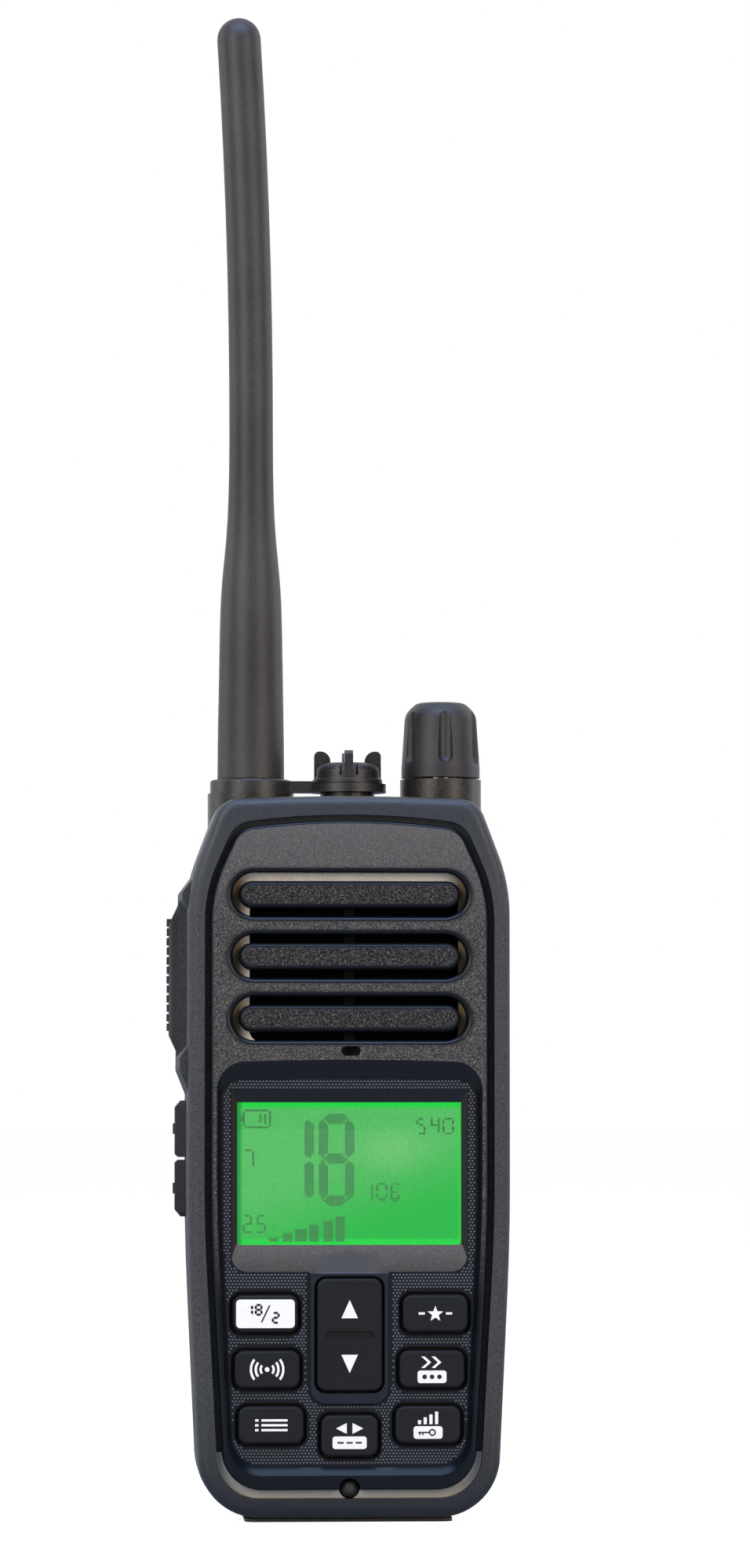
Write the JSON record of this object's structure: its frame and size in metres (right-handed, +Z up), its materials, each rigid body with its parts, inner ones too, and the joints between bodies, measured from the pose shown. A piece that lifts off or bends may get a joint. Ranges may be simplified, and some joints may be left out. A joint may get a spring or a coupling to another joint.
{
  "type": "handheld marine radio",
  "caption": "Handheld waterproof two-way radio with a whip antenna, top knob, capped jack, speaker slots, lit display, keypad, side talk button, battery pack and belt clip.",
  "frame": {"origin": "middle of the underside of the foot that the radio stands on, on the vertical plane that halves the case", "axes": "+X to the right of someone who looks at the display, +Y from the front to the back, +Z up along the case and the antenna"},
  "size_m": [0.0606, 0.0472, 0.2698],
  "materials": {
    "case_black": "fine matte texture",
    "panel_black": "coarse spark texture",
    "plate_black": "smooth, satin gloss",
    "key_black": "matte",
    "key_white": "satin",
    "grille_black": "coarse spark texture",
    "seal_grey": "matte",
    "rubber_black": "matte",
    "antenna_black": "satin moulded",
    "lens_clear": "clear, hard coated",
    "lcd_green": "lit from behind",
    "light_guide": "diffusing",
    "mesh_steel": "blackened",
    "steel": "zinc plated",
    "spring_steel": "bright",
    "brass": "plain",
    "gold_contact": "gold plated",
    "board_green": "solder resist",
    "cone_paper": "pressed",
    "alloy": "cast",
    "cell_wrap": "shrink sleeve",
    "pot_body": "plain"
  },
  "bodies": {
    "root": {"antenna_socket": "brass", "base_foot": "rubber_black", "battery_board": "board_green", "battery_case": "case_black", "battery_cells": "cell_wrap", "battery_contacts": "gold_contact", "battery_cover": "case_black", "cap_tether": "rubber_black", "case_screws": "steel", "chassis_plate": "alloy", "clip_bracket": "case_black", "clip_pin": "spring_steel", "clip_screws": "steel", "clip_spring": "spring_steel", "display_lens": "lens_clear", "dome_switches": "steel", "front_housing": "case_black", "front_panel": "panel_black", "housing_seal": "rubber_black", "jack_socket": "gold_contact", "key_mat": "rubber_black", "keypad_board": "board_green", "keypad_plate": "plate_black", "latch_spring": "spring_steel", "lcd_backlight": "light_guide", "lcd_panel": "lcd_green", "main_board": "board_green", "microphone": "pot_body", "panel_seal": "seal_grey", "rear_housing": "case_black", "shield_can": "alloy", "side_switches": "board_green", "speaker_cone": "cone_paper", "speaker_frame": "steel", "speaker_gasket": "seal_grey", "speaker_grille": "grille_black", "speaker_mesh": "mesh_steel", "vent_plug": "rubber_black", "volume_control": "pot_body"},
    "antenna_ring": {"antenna_seal": "rubber_black"},
    "antenna": {"antenna_whip": "antenna_black", "antenna_connector": "brass", "antenna_radiator": "brass"},
    "cap_ring": {"cap_seal": "rubber_black"},
    "jack_cap": {"jack_cap": "rubber_black"},
    "volume": {"volume_knob": "case_black", "volume_shaft": "spring_steel"},
    "talk_button": {"talk_button": "case_black"},
    "side_key_upper": {"side_key_upper": "case_black"},
    "side_key_lower": {"side_key_lower": "case_black"},
    "battery_latch": {"battery_latch": "case_black"},
    "belt_clip": {"belt_clip": "case_black"},
    "key_rocker": {"key_rocker": "key_black"},
    "key_channel": {"key_channel": "key_white"},
    "key_call": {"key_call": "key_black"},
    "key_menu": {"key_menu": "key_black"},
    "key_favourite": {"key_favourite": "key_black"},
    "key_watch": {"key_watch": "key_black"},
    "key_power_lock": {"key_power_lock": "key_black"},
    "key_scan": {"key_scan": "key_black"}
  },
  "joints": [
    {"name": "antenna_lift", "type": "slide", "parent": "root", "child": "antenna_ring", "axis": [0, 0, 1], "range_m": [0, 0.007]},
    {"name": "antenna_turn", "type": "hinge", "parent": "antenna_ring", "child": "antenna", "pos_m": [-0.0169, 0.002, 0.125], "axis": [0, 0, 1], "range_deg": [0, 2520]},
    {"name": "cap_lift", "type": "slide", "parent": "root", "child": "cap_ring", "axis": [0, 0, 1], "range_m": [0, 0.003]},
    {"name": "cap_turn", "type": "hinge", "parent": "cap_ring", "child": "jack_cap", "pos_m": [0.0005, 0.002, 0.128], "axis": [0, 0, 1], "range_deg": [0, 720]},
    {"name": "volume_turn", "type": "hinge", "parent": "root", "child": "volume", "pos_m": [0.0173, 0.002, 0.131], "axis": [0, 0, 1], "range_deg": [-210, 60]},
    {"name": "talk_press", "type": "slide", "parent": "root", "child": "talk_button", "axis": [1, 0, 0], "range_m": [0, 0.0012], "stiffness_N_per_m": 2500},
    {"name": "upper_side_press", "type": "slide", "parent": "root", "child": "side_key_upper", "axis": [1, 0, 0], "range_m": [0, 0.0007], "stiffness_N_per_m": 2000},
    {"name": "lower_side_press", "type": "slide", "parent": "root", "child": "side_key_lower", "axis": [1, 0, 0], "range_m": [0, 0.0007], "stiffness_N_per_m": 2000},
    {"name": "rocker_tilt", "type": "hinge", "parent": "root", "child": "key_rocker", "pos_m": [0, -0.0145, 0.0329], "axis": [1, 0, 0], "range_deg": [-2.2, 2.2], "stiffness_Nm_per_rad": 0.4},
    {"name": "latch_slide", "type": "slide", "parent": "root", "child": "battery_latch", "axis": [0, 0, -1], "range_m": [0, 0.0022], "stiffness_N_per_m": 900, "deforming": ["latch_spring"]},
    {"name": "clip_open", "type": "hinge", "parent": "root", "child": "belt_clip", "pos_m": [0, 0.0236, 0.076], "axis": [1, 0, 0], "range_deg": [0, 20], "stiffness_Nm_per_rad": 0.15, "springref_deg": -11.46},
    {"name": "channel_press", "type": "slide", "parent": "root", "child": "key_channel", "axis": [0, 1, 0], "range_m": [0, 0.0006], "stiffness_N_per_m": 800},
    {"name": "call_press", "type": "slide", "parent": "root", "child": "key_call", "axis": [0, 1, 0], "range_m": [0, 0.0006], "stiffness_N_per_m": 800},
    {"name": "menu_press", "type": "slide", "parent": "root", "child": "key_menu", "axis": [0, 1, 0], "range_m": [0, 0.0006], "stiffness_N_per_m": 800},
    {"name": "favourite_press", "type": "slide", "parent": "root", "child": "key_favourite", "axis": [0, 1, 0], "range_m": [0, 0.0006], "stiffness_N_per_m": 800},
    {"name": "watch_press", "type": "slide", "parent": "root", "child": "key_watch", "axis": [0, 1, 0], "range_m": [0, 0.0006], "stiffness_N_per_m": 800},
    {"name": "power_lock_press", "type": "slide", "parent": "root", "child": "key_power_lock", "axis": [0, 1, 0], "range_m": [0, 0.0006], "stiffness_N_per_m": 800},
    {"name": "scan_press", "type": "slide", "parent": "root", "child": "key_scan", "axis": [0, 1, 0], "range_m": [0, 0.0006], "stiffness_N_per_m": 800}
  ],
  "couplings": [
    {"joint": "antenna_turn", "follows": "antenna_lift", "rad_per_m": 6283.2},
    {"joint": "cap_turn", "follows": "cap_lift", "rad_per_m": 4188.8}
  ]
}
